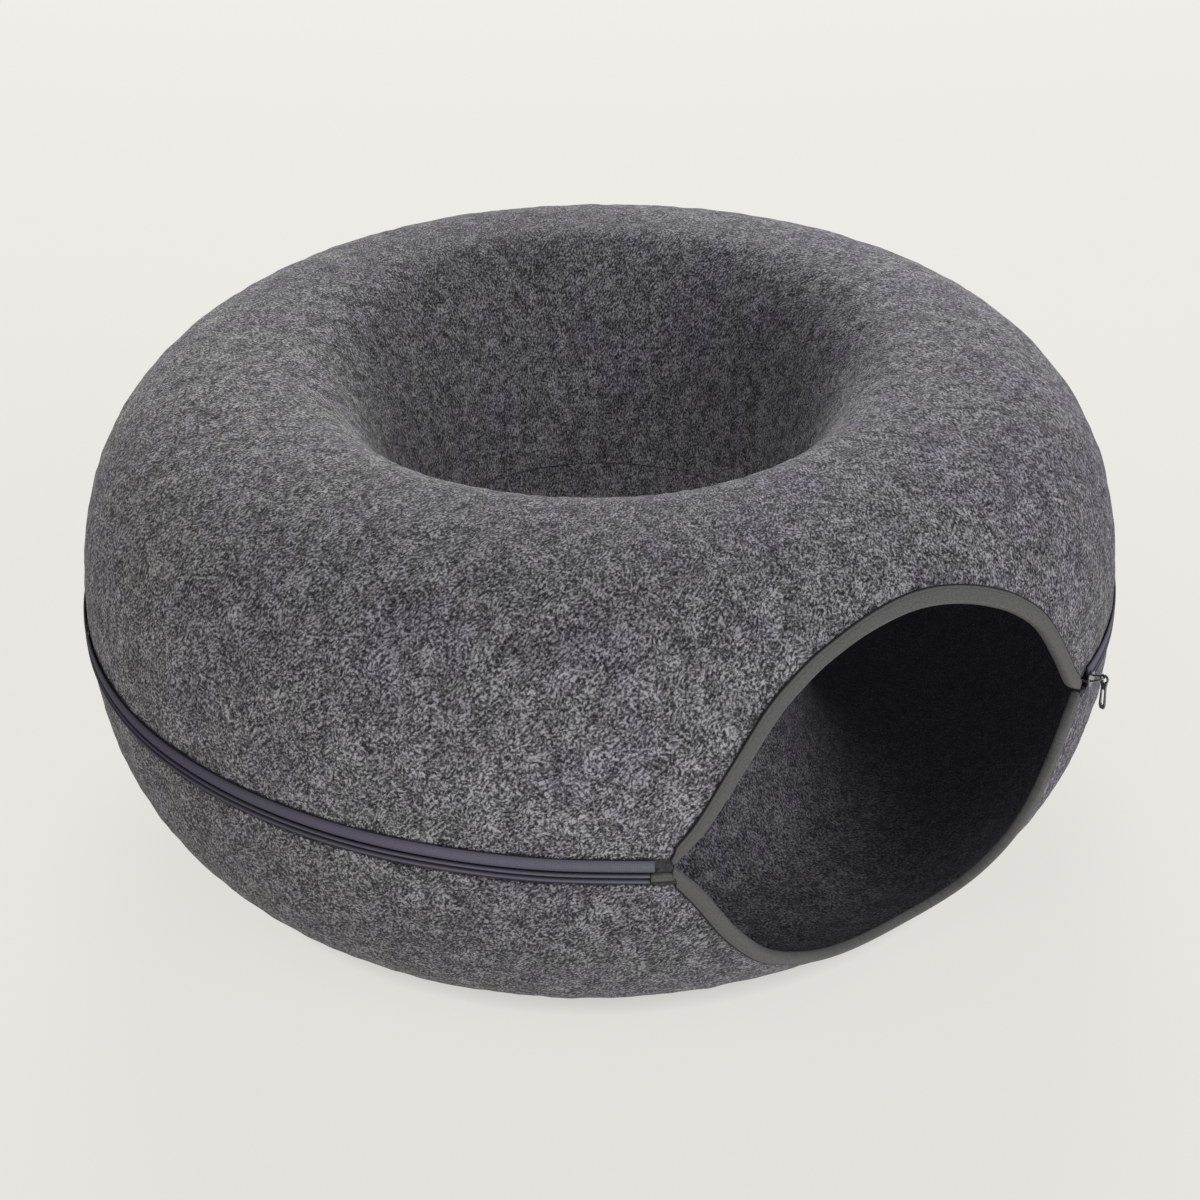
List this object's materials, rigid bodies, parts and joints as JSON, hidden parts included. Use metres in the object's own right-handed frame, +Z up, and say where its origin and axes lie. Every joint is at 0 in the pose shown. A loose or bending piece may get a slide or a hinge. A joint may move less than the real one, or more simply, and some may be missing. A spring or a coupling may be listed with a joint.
{
  "type": "felt cat cave",
  "caption": "Round hollow felt cat cave: moulded felt halves zipped together into a ring-shaped tunnel, with a bound mouth in the wall and an open well in the middle.",
  "frame": {"origin": "on the floor, under the middle of the bounding box", "axes": "+Z up, along the well's axis; -Y from the well towards the middle of the mouth; +X to the right as the mouth is faced"},
  "size_m": [0.6023, 0.5817, 0.2804],
  "materials": {
    "felt": "marled grey pressed felt, matte, short fuzz",
    "binding_cloth": "flat greenish-grey ribbed binding tape, matte",
    "zip_tape_cloth": "woven zip tape, purplish grey, slight sheen",
    "zip_coil_nylon": "dark nylon coil",
    "zip_metal": "dark polished metal"
  },
  "bodies": {
    "root": {"upper_shell": "felt", "lower_shell": "felt", "mouth_binding_upper": "binding_cloth", "mouth_binding_lower": "binding_cloth", "zip_tape_upper": "zip_tape_cloth", "zip_tape_lower": "zip_tape_cloth", "zip_coil": "zip_coil_nylon", "zip_slider": "zip_metal", "zip_pull": "zip_metal"}
  },
  "joints": []
}
